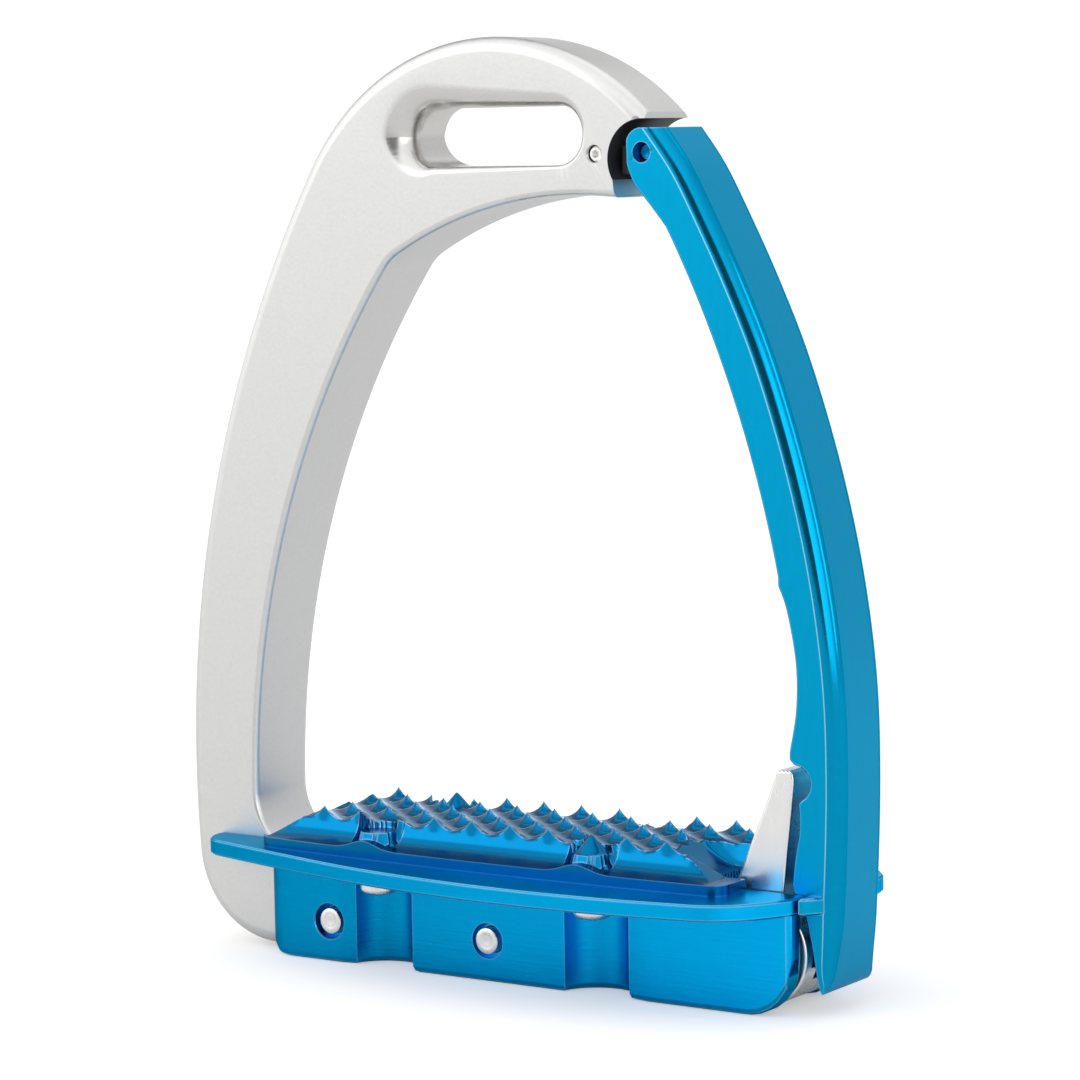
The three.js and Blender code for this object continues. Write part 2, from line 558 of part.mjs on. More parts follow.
place('frame', makeFrame(), silver);
place('hinge_knuckle', makeKnuckle(), darkSteel);
place('hinge_set_screw', makeSetScrew(), darkSteel);
place('safety_arm', makeArm(), blue);
place('latch_pin', rodY(LATCH_PIN.x, LATCH_PIN.z, LATCH_PIN.r, -LATCH_PIN.half, LATCH_PIN.half, 20),
  darkSteel);
place('hinge_pin', rodY(HINGE.x, HINGE.z, PIN_R, 2 - HALF, HALF - 2), darkSteel);
place('footbed', makeFootbed(), blue);
place('grip_plate', makeGripPlate(), deepBlue);
['front_inner', 'front_outer', 'rear_inner', 'rear_outer'].forEach((where, i) => {
  const [x, y] = screwPlaces()[i];
  place(`tread_screw_${where}`, makeTreadScrew(x, y), steel);
});
place('cross_pin_inner', makeCrossPin(CROSS_PIN.xs[0]), steel);
place('cross_pin_middle', makeCrossPin(CROSS_PIN.xs[1]), steel);
place('release_lever', makeLever(), steel);
place('lever_pivot_pin', rodY(LEVER_PIVOT.x, LEVER_PIVOT.z, LEVER_PIN_R, -10.6, 11.9), steel);
place('lever_spring', makeLeverSpring(), steel);

export default stirrup;
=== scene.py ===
"""A hinged safety stirrup iron on a pale studio floor. Outlines are in millimetres."""

import math

import bpy
import bmesh
from mathutils import Matrix, Vector
from mathutils.geometry import delaunay_2d_cdt


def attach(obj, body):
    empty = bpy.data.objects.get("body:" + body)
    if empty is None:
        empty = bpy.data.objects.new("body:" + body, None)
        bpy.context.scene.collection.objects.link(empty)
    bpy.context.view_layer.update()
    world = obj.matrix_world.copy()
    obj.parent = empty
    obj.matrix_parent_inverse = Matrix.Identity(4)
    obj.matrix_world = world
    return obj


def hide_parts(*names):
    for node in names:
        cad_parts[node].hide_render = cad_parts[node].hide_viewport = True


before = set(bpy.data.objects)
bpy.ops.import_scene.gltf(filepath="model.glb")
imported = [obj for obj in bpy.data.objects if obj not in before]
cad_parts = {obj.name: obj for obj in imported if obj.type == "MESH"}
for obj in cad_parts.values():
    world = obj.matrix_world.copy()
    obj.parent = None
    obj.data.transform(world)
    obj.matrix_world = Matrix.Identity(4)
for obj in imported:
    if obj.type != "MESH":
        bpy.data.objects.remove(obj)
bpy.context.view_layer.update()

MM = 0.001
HALF = 8.35                                       # half the depth of the frame and of the arm
HINGE = (34.0, 0, 154.3)                          # the arm's hinge
SET_SCREW = (23.9, 154.1)                         # x, z of the screw beside the hinge
PIVOT = (56.5, 0, 10.8)                           # the lever's pivot
LATCH = (63.2, 0, 10.6)                           # the latch pin in the arm's lug
CROSS_PINS = {"cross_pin_inner": (-37, 12.3), "cross_pin_middle": (0, 13.0)}    # x, face depth
CROSS_PIN_Z = 7.9
SCREW_X, SCREW_Y = 24.15, 13
PLATFORM_LEVELS = [(1, 19.1), (0, 19.45), (0, 21.85), (1, 22.2)]


# ---- Outlines -----------------------------------------------------------------------------------

def arc(cx, cy, r, a0, a1, step=2.0):
    """Points on a circle from angle a0 to a1, in degrees."""
    n = max(4, int(abs(a1 - a0) / step), int(abs(a1 - a0) * r * math.pi / 180 / 1.4))
    angles = [math.radians(a0 + (a1 - a0) * i / n) for i in range(n + 1)]
    return [(cx + r * math.cos(a), cy + r * math.sin(a)) for a in angles]


def spline(points, n=8):
    """A smooth curve through points."""
    ends = [points[0]] + list(points) + [points[-1]]
    out = []
    for a, b, c, d in zip(ends, ends[1:], ends[2:], ends[3:]):
        for k in range(n):
            t = k / n
            out.append(tuple(
                0.5 * (2 * q + (r - p) * t + (2 * p - 5 * q + 4 * r - s) * t * t
                       + (3 * q - p - 3 * r + s) * t ** 3)
                for p, q, r, s in zip(a, b, c, d)))
    return out + [points[-1]]


def loop(*parts):
    """Joins (points, edge width) runs into one closed outline; a pair of widths is a taper."""
    out = []
    for points, width in parts:
        start, end = width if isinstance(width, tuple) else (width, width)
        for i, p in enumerate(points):
            if not out or math.dist(p, out[-1][0]) > 0.08:
                out.append((p, start + (end - start) * i / (len(points) - 1)))
    if math.dist(out[0][0], out[-1][0]) < 0.08:
        out.pop()
    return out


def inward(points):
    """Unit vectors to the left of an outline at each point, mitred at corners."""
    out = []
    for i, p in enumerate(points):
        a, c = points[i - 1], points[(i + 1) % len(points)]
        d0 = Vector((p[0] - a[0], p[1] - a[1])).normalized()
        d1 = Vector((c[0] - p[0], c[1] - p[1])).normalized()
        n0, n1 = Vector((-d0.y, d0.x)), Vector((-d1.y, d1.x))
        n = n0 + n1
        n = n.normalized() if n.length > 1e-6 else n0
        out.append(n / max(0.5, n.dot(n1)))
    return out


# ---- Mesh building ------------------------------------------------------------------------------

def fill(loops):
    """Triangles over the area between an outer outline and its holes."""
    points, edges = [], []
    for pts in loops:
        start = len(points)
        points += [Vector(p) for p in pts]
        edges += [(start + i, start + (i + 1) % len(pts)) for i in range(len(pts))]
    verts, _, faces, _, _, _ = delaunay_2d_cdt(points, edges, [], 1, 1e-6)
    if len(verts) != len(points):
        raise ValueError("outline crosses itself")
    inside = []
    for f in faces:
        cx = sum(verts[i].x for i in f) / 3
        cy = sum(verts[i].y for i in f) / 3
        crossings = 0
        for a, b in edges:
            (x0, y0), (x1, y1) = points[a], points[b]
            if (y0 > cy) != (y1 > cy) and cx < x0 + (cy - y0) * (x1 - x0) / (y1 - y0):
                crossings += 1
        if crossings % 2:
            inside.append(f)
    return inside


def prism(loops, levels, place):
    """A solid from outlines. Levels, low to high, are (share of the edge width set in, height),
    or (share set in, share of the edge width below the face, height of the face)."""
    bm = bmesh.new()
    rings, outlines = [], []
    for inset, *height in levels:
        ring, outline = [], []
        for pts in loops:
            moved = []
            for (p, w), n in zip(pts, inward([p for p, _ in pts])):
                h = height[0] if len(height) == 1 else height[1] * (1 - w * height[0] / abs(height[1]))
                moved.append((p[0] + n.x * w * inset, p[1] + n.y * w * inset, h))
            ring.append([bm.verts.new(place(*m)) for m in moved])
            outline.append([m[:2] for m in moved])
        rings.append(ring)
        outlines.append(outline)
    for low, high, a0, b0 in zip(rings, rings[1:], levels, levels[1:]):
        for hole, (a, b) in enumerate(zip(low, high)):
            for i in range(len(a)):
                j = (i + 1) % len(a)
                face = bm.faces.new((a[i], a[j], b[j], b[i]))
                # the narrow line faces take the third material, on the arm a blue painted lighter as a
                # highlight
                line = max(a0[0], b0[0]) > 1
                face.material_index = 2 if line else int((a0[0] != b0[0]) != bool(hole))
    for ring, outline in ((rings[0], outlines[0]), (rings[-1], outlines[-1])):
        flat = [v for vs in ring for v in vs]
        for f in fill(outline):
            bm.faces.new([flat[i] for i in f])
    bmesh.ops.recalc_face_normals(bm, faces=bm.faces)
    return bm


def upright(x, z, y):
    """Places an outline drawn in the XZ plane."""
    return (x * MM, y * MM, z * MM)


def level(x, y, z):
    """Places an outline drawn in the XY plane."""
    return (x * MM, y * MM, z * MM)


def rounded(half, steps=6):
    """Levels of a slab whose faces meet its sides in quarter-rounds of each point's edge width."""
    angles = [math.pi / 2 * k / steps for k in range(steps + 1)]
    low = [(1 - math.sin(a), 1 - math.cos(a), -half) for a in angles]
    return low + [(inset, below, half) for inset, below, _ in reversed(low)]


def lined(half, steps=8):
    """Rounded levels with a narrow flat line where each face ends."""
    return [(1.08, 0, -half), *rounded(half, steps), (1.08, 0, half)]


def to_object(name, bm):
    mesh = bpy.data.meshes.new(name)
    bm.to_mesh(mesh)
    bm.free()
    obj = bpy.data.objects.new(name, mesh)
    bpy.context.scene.collection.objects.link(obj)
    return obj


def lathe(name, profile, centre, axis, segments=64):
    """Turns (radius, height) pairs round an axis, X, Y or Z, through centre."""
    bm = bmesh.new()
    rings = []
    for r, h in profile:
        ring = []
        for i in range(segments if r > 1e-6 else 1):
            a = 2 * math.pi * i / segments
            u, v = r * math.cos(a), r * math.sin(a)
            d = {"X": (h, u, v), "Y": (v, h, u), "Z": (u, v, h)}[axis]
            ring.append(bm.verts.new([(c + k) * MM for c, k in zip(centre, d)]))
        rings.append(ring)
    for a, b in zip(rings, rings[1:]):
        for i in range(segments):
            j = (i + 1) % segments
            quad = [a[i % len(a)], a[j % len(a)], b[j % len(b)], b[i % len(b)]]
            bm.faces.new(list(dict.fromkeys(quad)))
    if len(rings[0]) > 1:
        bm.faces.new(rings[0])
    if len(rings[-1]) > 1:
        bm.faces.new(rings[-1])
    bmesh.ops.recalc_face_normals(bm, faces=bm.faces)
    return to_object(name, bm)


def block(name, x0, x1, y0, y1, z0, z1):
    bm = bmesh.new()
    bmesh.ops.create_cube(bm, size=1)
    for v in bm.verts:
        v.co = Vector((x1 if v.co.x > 0 else x0, y1 if v.co.y > 0 else y0,
                       z1 if v.co.z > 0 else z0)) * MM
    return to_object(name, bm)


def carve(obj, *cutters, operation="DIFFERENCE"):
    """Cuts solids out of an object, or joins them to it, and then removes them."""
    for cutter in cutters:
        mod = obj.modifiers.new("cut", "BOOLEAN")
        mod.object, mod.operation, mod.solver = cutter, operation, "EXACT"
        deps = bpy.context.evaluated_depsgraph_get()
        mesh = bpy.data.meshes.new_from_object(obj.evaluated_get(deps))
        obj.modifiers.remove(mod)
        old, obj.data = obj.data, mesh
        bpy.data.meshes.remove(old)
        bpy.data.objects.remove(cutter)


def shade(obj, angle=32, bevel=0.0):
    """Smooth shading with crisp edges; bevel, in mm, rounds the sharpest of them."""
    if bevel:
        mod = obj.modifiers.new("edge", "BEVEL")
        mod.width, mod.segments = bevel * MM, 2
        mod.limit_method, mod.angle_limit = "ANGLE", math.radians(50)
        deps = bpy.context.evaluated_depsgraph_get()
        mesh = bpy.data.meshes.new_from_object(obj.evaluated_get(deps))
        obj.modifiers.remove(mod)
        obj.data = mesh
    bm = bmesh.new()
    bm.from_mesh(obj.data)
    for f in bm.faces:
        f.smooth = True
    for e in bm.edges:
        e.smooth = len(e.link_faces) == 2 and e.calc_face_angle(0) < math.radians(angle)
    bm.to_mesh(obj.data)
    bm.free()
    mod = obj.modifiers.new("normals", "WEIGHTED_NORMAL")
    mod.keep_sharp, mod.weight = True, 80


# ---- Materials ----------------------------------------------------------------------------------

def node(tree, kind, inputs=None, **settings):
    """Adds a shader node. Each input takes a value, or a socket to be linked from."""
    made = tree.nodes.new("ShaderNode" + kind)
    for key, value in settings.items():
        setattr(made, key, value)
    for key, value in (inputs or {}).items():
        if isinstance(value, bpy.types.NodeSocket):
            tree.links.new(value, made.inputs[key])
        else:
            made.inputs[key].default_value = value
    return made


def material(name, tint, rough, grain=(1, 1, 1), scale=900, bump=0.03, mottle=0.06, edge_highlight=0.3,
             highlight_tint=None, painted_falloff=None, grazing=None):
    """Metal with a fine grain, soft mottling in its sheen, and paler sharp edges, a painted highlight.

    Grain stretches the fine noise, scale sets its size and bump its relief. Mottle varies the
    roughness. edge_highlight is the share of highlight_tint painted on sharp edges as a highlight,
    painted_falloff the share of brightness left at the -X end as painted shade, and grazing the
    colour at a low angle.
    """
    mat = bpy.data.materials.new(name)
    mat.use_nodes = True
    mat.node_tree.nodes.clear()

    def add(kind, inputs=None, **settings):
        return node(mat.node_tree, kind, inputs, **settings)

    def remap(source, low, high):
        return add("MapRange", {"Value": source, "To Min": low, "To Max": high}).outputs[0]

    def maths(operation, a, b):
        return add("Math", {0: a, 1: b}, operation=operation, use_clamp=True).outputs[0]

    coord = add("TexCoord").outputs["Object"]
    grained = add("Mapping", {"Vector": coord, "Scale": grain}).outputs[0]
    fine = add("TexNoise", {"Vector": grained, "Scale": scale, "Detail": 4}).outputs[0]
    broad = add("TexNoise", {"Vector": coord, "Scale": 45, "Detail": 5}).outputs[0]

    softened = add("Bevel", {"Radius": 0.0004}, samples=6).outputs[0]
    normal = add("NewGeometry").outputs["Normal"]
    bend = add("VectorMath", {0: softened, 1: normal}, operation="DOT_PRODUCT").outputs["Value"]
    # sharp edges are painted a paler tint, a painted highlight for light caught along them
    sharp = add("MapRange", {"Value": bend, "From Min": 0.995, "From Max": 0.955}).outputs[0]
    highlight_share = maths("MULTIPLY", maths("MULTIPLY", sharp, remap(broad, 0.2, 1.0)), edge_highlight)
    highlight_colour = highlight_tint or [min(1, c * 0.9 + 0.12) for c in tint]
    colour = add("Mix", {"Factor": highlight_share, "A": (*tint, 1), "B": (*highlight_colour, 1)}, data_type="RGBA")

    tone = remap(fine, 0.93, 1.05)
    # painted shade: the tone darkens towards -X, standing in for less light falling on that end
    if painted_falloff:
        along = add("SeparateXYZ", {"Vector": coord}).outputs["X"]
        painted_fade = add("MapRange", {"Value": along, "From Min": -0.055, "From Max": 0.065,
                                "To Min": painted_falloff}).outputs[0]
        tone = maths("MULTIPLY", tone, painted_fade)
    grey = add("CombineColor", {0: tone, 1: tone, 2: tone}).outputs[0]
    toned = add("Mix", {"Factor": 1.0, "A": colour.outputs["Result"], "B": grey},
                data_type="RGBA", blend_type="MULTIPLY")
    sheen = maths("ADD", remap(fine, rough - 0.06, rough + 0.06), remap(broad, -mottle, mottle))
    relief = add("Bump", {"Strength": bump, "Distance": 0.0002, "Height": fine}).outputs[0]
    bsdf = add("BsdfPrincipled", {
        "Metallic": 1.0, "Roughness": sheen, "Base Color": toned.outputs["Result"],
        "Specular Tint": (*(grazing or [c ** 0.3 for c in tint]), 1), "Normal": relief})
    add("OutputMaterial", {"Surface": bsdf.outputs[0]})
    return mat


# a pale blue painted on sharp edges as a highlight
EDGE_HIGHLIGHT = (0.55, 0.78, 0.95)
SILVER = material("blasted silver", (0.76, 0.76, 0.755), 0.42, (1, 1, 1), 1300, 0.10, 0.05)
SLOT = material("milled silver", (0.74, 0.735, 0.72), 0.24, (0.06, 1, 1), 1500, 0.14, 0.08)
# a dark silver painted on the recess walls as shade
SHADOWED = material("silver darkened as painted shade", (0.17, 0.165, 0.16), 0.5, (1, 1, 1), 900, 0.05)
SILVER_EDGE = material("polished silver edge", (0.78, 0.78, 0.775), 0.36, (1, 1, 1), 900, 0.02)
BLUE = material("blue anodised", (0.002, 0.38, 0.68), 0.34, (1, 1, 0.15), 1500, 0.07, 0.04,
                0.6, EDGE_HIGHLIGHT, grazing=(0.75, 0.88, 0.98))
BLUE_EDGE = material("glossy blue edge", (0.002, 0.34, 0.63), 0.13, (1, 1, 1), 900, 0.02, 0.03,
                     0.85, EDGE_HIGHLIGHT)
# a lighter blue painted on the arm's narrow edge lines as a highlight
HIGHLIGHT_LINE_BLUE = material("painted highlight blue line", (0.30, 0.68, 0.90), 0.25, (1, 1, 1), 900, 0.02, 0.1)
# the body's tone is darkened towards -X as painted shade, and its edges carry the painted highlight
BODY = material("machined blue", (0.001, 0.50, 1.0), 0.30, (0.05, 0.05, 1), 2400, 0.16, 0.04,
                0.35, EDGE_HIGHLIGHT, painted_falloff=0.6, grazing=(0.35, 0.56, 0.66))
GRIP = material("glossy grip blue", (0.002, 0.17, 0.38), 0.2, (1, 1, 1), 900, 0.03, 0.05,
                0.4, EDGE_HIGHLIGHT, grazing=(0.85, 0.87, 0.90))
STEEL = material("satin steel", (0.95, 0.945, 0.93), 0.27, (1, 1, 0.2), 900, 0.06, 0.1)
DARK = material("dark steel", (0.16, 0.155, 0.15), 0.38, (1, 1, 1), 900, 0.05, 0.1)


def finish_piece(obj, mats, body, slot, *nodes, angle=32, bevel=0.0):
    """Shades a piece and ties it to the model. Its materials go by the index on each face."""
    shade(obj, angle, bevel)
    mats = mats if isinstance(mats, tuple) else (mats,)
    indices = [p.material_index for p in obj.data.polygons]
    obj.data.materials.clear()
    for mat in mats:
        obj.data.materials.append(mat)
    for p, index in zip(obj.data.polygons, indices):
        p.material_index = min(index, len(mats) - 1)
    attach(obj, body)
    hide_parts(*nodes)


# ---- Frame --------------------------------------------------------------------------------------

ARCH_END = 30.66                                  # degrees, where the arch meets each side's arc
SLOT_X, SLOT_Z, SLOT_R = (-12.4, 15.5), 157.5, 5.4
SLOT_LEN = SLOT_X[1] - SLOT_X[0]
frame_outline = loop(
    (arc(0, 127.8, 48, ARCH_END, 180 - ARCH_END), 2.8),
    (arc(155.7, 35.5, 229, 180 - ARCH_END, 184.384), 2.8),
    (arc(-54.284, 19.4, 18.4, 184.384, 270), 2.8),
    ([(-53, 1.0), (-48, 1.0)], (2.8, 0.05)),
    ([(-47, 1.0), (-47, 19.5)], 0.05),
    (arc(-46, 30.5, 11, 264.8, 180), (0.05, 1.3)),
    (arc(118, 30.5, 175, 180, 144.10), 1.3),
    (arc(-16.466, 127.84, 9, 144.10, 119.97), 1.3),
    (arc(20, 64.6, 82, 119.97, 75), 1.3),
)
recess = arc(34, 153.1, 7.25, 88.4, 210.6, 3)
recess += [(28.2, 146.2), (28.2, 130), (60, 130), (60, 175), (34.2, 175)]
slot_outline = loop(
    (arc(SLOT_X[1], SLOT_Z, SLOT_R, 90, 0), (2.6, 1.2)),
    (arc(SLOT_X[1], SLOT_Z, SLOT_R, 0, -90), (1.2, 0.7)),
    ([(SLOT_X[1] - SLOT_LEN * k / 12, SLOT_Z - SLOT_R) for k in range(13)], (0.7, 1.5)),
    (arc(SLOT_X[0], SLOT_Z, SLOT_R, 270, 180), (1.5, 6.0)),
    (arc(SLOT_X[0], SLOT_Z, SLOT_R, 180, 90), (6.0, 4.8)),
    ([(SLOT_X[0] + SLOT_LEN * k / 12, SLOT_Z + SLOT_R) for k in range(13)], (4.8, 2.6)),
)
frame_piece = to_object("frame_skin", prism([frame_outline, slot_outline],
                                            rounded(HALF, 8), upright))
carve(frame_piece,
      block("bar", -53, 33, -3.8, 3.8, 2.6, 16.6), operation="UNION")
carve(frame_piece,
      to_object("recess", prism([[(p, 0) for p in recess]], [(0, -20), (0, 20)], upright)),
      lathe("screw bore", [(0, 0), (1.75, 0), (1.55, 0.35), (1.55, 6), (0, 6)],
            (SET_SCREW[0], -8.45, SET_SCREW[1]), "Y", 40),
      lathe("stem bore", [(0, 0), (3.15, 0), (3.15, 8), (0, 8)], (21.9, 0, HINGE[2]), "X", 40),
      *[lathe("pin bore", [(0, 0), (2.65, 0), (2.65, 20), (0, 20)], (x, -10, CROSS_PIN_Z), "Y", 40)
        for x, _ in CROSS_PINS.values()])
for face in frame_piece.data.polygons:
    x, y, z = face.center / MM
    from_slot = math.hypot(max(0, abs(x - 1.5) - 13.9), z - SLOT_Z)
    in_slot = from_slot < 11.6 and abs(face.normal.y) < 0.99
    # the recess walls take the dark silver, painted shade for the shadow in the recess
    in_recess = math.hypot(x - 34, z - 153.1) < 7.3 and abs(face.normal.y) < 0.5
    face.material_index = 3 if in_recess else 2 if in_slot else face.material_index
finish_piece(frame_piece, (SILVER, SILVER_EDGE, SLOT, SHADOWED), "stirrup", "frame_silver",
             "frame", angle=40, bevel=0.2)

# ---- Arm ----------------------------------------------------------------------------------------

outside = spline([(71.04, 6.6), (71.65, 9.75), (72.85, 19.6), (73.7, 41), (73.2, 60), (70.65, 79),
                  (66.2, 98), (60, 117), (53.45, 132), (46.8, 145), (42.6, 152.4), (37.9, 158.7),
                  (35.3, 161.8)])
arm_outline = loop(
    (arc(67.9, 7.2, 3.2, -60, -11, 8), (0.1, 1.2)),
    (outside[:17], (1.2, 2.8)),
    (outside[16:], 2.8),
    ([(35.3, 161.8), (30.7, 161.0)], (2.8, 0.3)),
    ([(30.7, 161.0), (30.7, 152.4)], 0.3),
    (spline([(30.7, 152.4), (31.1, 151.1), (32.3, 148.6), (34.3, 146.3), (36.4, 143.9), (38.8, 141)]),
     0.3),
    (arc(-155.7, 35.5, 221.3, 28.47, 11.34), 0.3),
    (spline([(61.3, 77.4), (63, 73), (64.7, 64), (64.7, 55.5), (63.3, 47.8)]), 0.3),
    ([(63.3, 46.4), (64.2, 45.5)], 0.3),
    (arc(64.2, 42.2, 3.3, 90, -63), 0.3),
    (spline([(65.1, 38.6), (65.2, 33.8), (64.3, 29), (63.6, 24)]), 0.3),
    (spline([(64.0, 22.5), (65.4, 20.6), (66.5, 17.9), (67.8, 11.8), (68.6, 7.0), (69.2, 4.9)]),
     (0.3, 0.1)),
)


def arm_tab():
    """A tab in front of the arm that carries the platform's rounded edge on."""
    curve = [(66.9, -7.4), (66.9, -11.9)]
    curve += [(66.9 + 3.7 * t, -11.9 + 4.5 * t ** 1.6) for t in
              [0.15, 0.3, 0.45, 0.6, 0.75, 0.9, 1.0]]
    return to_object("tab", prism([[(p, 0.35) for p in curve]], PLATFORM_LEVELS, level))


arm_mesh = prism([arm_outline], lined(HALF), upright)
for turn in range(90, 180, 15):                   # level top end with a rounded inner corner
    away = Vector((math.cos(math.radians(turn)), 0, math.sin(math.radians(turn))))
    bmesh.ops.bisect_plane(arm_mesh, geom=[*arm_mesh.verts, *arm_mesh.edges, *arm_mesh.faces],
                           dist=1e-8, plane_co=Vector((33.9, 0, 155.5)) * MM + away * 3.2 * MM,
                           plane_no=away, clear_outer=True)
    open_edges = [e for e in arm_mesh.edges if len(e.link_faces) == 1]
    bmesh.ops.holes_fill(arm_mesh, edges=open_edges, sides=0)
arm_piece = to_object("arm_skin", arm_mesh)
carve(arm_piece, arm_tab(), block("lug", 60.4, 70, -3.4, 3.4, 7.6, 13.6), operation="UNION")
carve(arm_piece,
      lathe("fork", [(0, -4.8), (3.7, -4.8), (3.7, 4.8), (0, 4.8)], HINGE, "Y"),
      block("fork mouth", 20, 34.3, -4.8, 4.8, 149.6, 165),
      lathe("pin hole", [(0, -9), (2.1, -9), (1.75, -8.1), (1.75, 8.1), (2.1, 9), (0, 9)],
            HINGE, "Y"),
      lathe("catch bore", [(0, -9), (1.65, -9), (1.65, 9), (0, 9)], LATCH, "Y", 32))
finish_piece(arm_piece, (BLUE, BLUE_EDGE, HIGHLIGHT_LINE_BLUE), "arm", "blue_anodised", "safety_arm",
             angle=40, bevel=0.15)

# ---- Footbed ------------------------------------------------------------------------------------


def body_outline():
    """Three blocks with a scallop between each, front and rear."""
    reach = 6.9                                   # radius of a scallop round its screw
    flat, middle = [math.degrees(math.asin((SCREW_Y - y) / reach)) for y in (12.3, 13.0)]
    rear = [(65.3, 11.5), (64.5, 12.3)]
    rear += [(64.5 - i * 2.0, 12.3) for i in range(1, 16)]
    rear += arc(SCREW_X, SCREW_Y, reach, -flat - 6, -174 + middle, 6)
    rear += arc(-SCREW_X, SCREW_Y, reach, -middle - 6, -174 + flat, 6)
    rear += [(-34.5, 12.3), (-41, 12.3)]
    rear += arc(-46, 3.8, 8.5, 90, 180, 6)
    return loop((rear + [(x, -y) for x, y in reversed(rear)], 1.2))


def quarter(r, d):
    """Rise of a quarter-round of radius r at distance d from where it starts."""
    d = max(0, min(r, d))
    return r - math.sqrt(r * r - d * d)


def body_place(x, y, z):
    """Places the body's outline, with its underside turned up at both ends."""
    low = quarter(9.6, x - 55.7) + quarter(6, -48.5 - x)
    return (x * MM, y * MM, (z if z > 19 else min(19, low + z)) * MM)


def platform_outline():
    """The platform bows out front and rear and wraps the arm's foot at the rear."""
    def curve(a, b, c, n):
        return [tuple((1 - t) ** 2 * p + 2 * t * (1 - t) * q + t * t * r
                      for p, q, r in zip(a, b, c)) for t in [k / n for k in range(n + 1)]]
    bow = spline([(-61, 16), (-49, 19.3), (-24, 25.6), (-5, 28.4), (14.5, 29.5), (34.5, 28.5),
                  (53.3, 25.6)], 6)
    left = curve(bow[0], (-66, 14.3), (-66, 9), 10)
    right = curve((66.3, 11.75), (61.4, bow[-1][1] - 2), bow[-1], 12)
    front = [(x, -y) for x, y in reversed(right + bow[::-1] + left)]
    corner = [(69.8, 12), (69.5, 14), (68.4, 16.6), (65, 20.5), (60, 23.8), bow[-1]]
    rear = [(66.3, 0), (69.8, 0)] + spline(corner, 5) + bow[::-1] + left
    return loop((rear + front, 0.35))


footbed = to_object("footbed_skin", prism([body_outline()],
                                          [(1, 0), (0.29, 0.35), (0, 1.2), (0, 19.5)], body_place))
platform = to_object("platform", prism([platform_outline()], PLATFORM_LEVELS, level))
carve(footbed, platform, operation="UNION")
carve(footbed,
      block("branch notch", -80, -46.7, -8.65, 8.65, -5, 30),
      block("fillet notch", -80, -45.4, -8.65, 8.65, 18.9, 30),
      block("bar pocket", -60, 34, -4.1, 4.1, 2.3, 16.9),
      block("lever slot", 49, 80, -8.65, 8.65, -5, 40),
      lathe("hub slot", [(0, -8.65), (10.3, -8.65), (10.3, 8.65), (0, 8.65)], PIVOT, "Y"),
      lathe("pivot bore", [(0, -10.9), (2.15, -10.9), (2.15, 20), (0, 20)], PIVOT, "Y"),
      lathe("spring bore", [(0, 38), (2.7, 38), (2.7, 50), (0, 50)], (0, 0, 6), "X", 32),
      *[lathe("pin bore", [(0, -30), (3.6, -30), (3.6, 0.02 - f), (3.4, 0.2 - f), (3.4, 2.4 - f),
                           (2.65, 2.4 - f), (2.65, f - 2.4), (3.4, f - 2.4), (3.4, f - 0.2),
                           (3.6, f - 0.02), (3.6, 30), (0, 30)], (x, 0, CROSS_PIN_Z), "Y", 56)
        for x, f in CROSS_PINS.values()],
      *[lathe("screw bore", [(0, 10), (2.15, 10), (2.15, 30), (0, 30)], (x, y, 0), "Z", 32)
        for x in (-SCREW_X, SCREW_X) for y in (-SCREW_Y, SCREW_Y)])
finish_piece(footbed, (BODY, BLUE_EDGE), "stirrup", "blue_anodised", "footbed",
             angle=30, bevel=0.25)

# ---- Grip plate ---------------------------------------------------------------------------------

ROW, PITCH, SHEAR, TIP = 5.91, 8.6, 0.738, 30.5   # between rows, between spikes, lean, top
PLATE_X = (-50.5, 54.4)
PLATE_Z, DECK_Z = 22.2, 24.2                      # underside, lowest deck
THIN_Z = PLATE_Z + 0.1                            # where the plate is about to be cut away
BOSSES = ((-SCREW_X, -SCREW_Y, 26.9), (SCREW_X, -SCREW_Y, 30.3),
          (-SCREW_X, SCREW_Y, 30.3), (SCREW_X, SCREW_Y, 26.9))


def plate_half(x):
    """Half depth of the plate at x, with rounded ends."""
    y = 19.05 - ((x - 8) / 60) ** 2 * 2.6
    for end, side in zip(PLATE_X, (1, -1)):
        d = max(0.0, min(3.0, (x - end) * side))
        y -= 3.0 - math.sqrt(9 - (3 - d) ** 2)
    return y


def cusp(t):
    """Height, 0 to 1, of a ball-milled groove: t is 0 at its middle and 1 at the crest."""
    w = 1 / 1.25
    return (1 - math.sqrt(1 - (t * w) ** 2)) / (1 - math.sqrt(1 - w * w))


def ramp(t):
    return max(0.0, min(1.0, t))


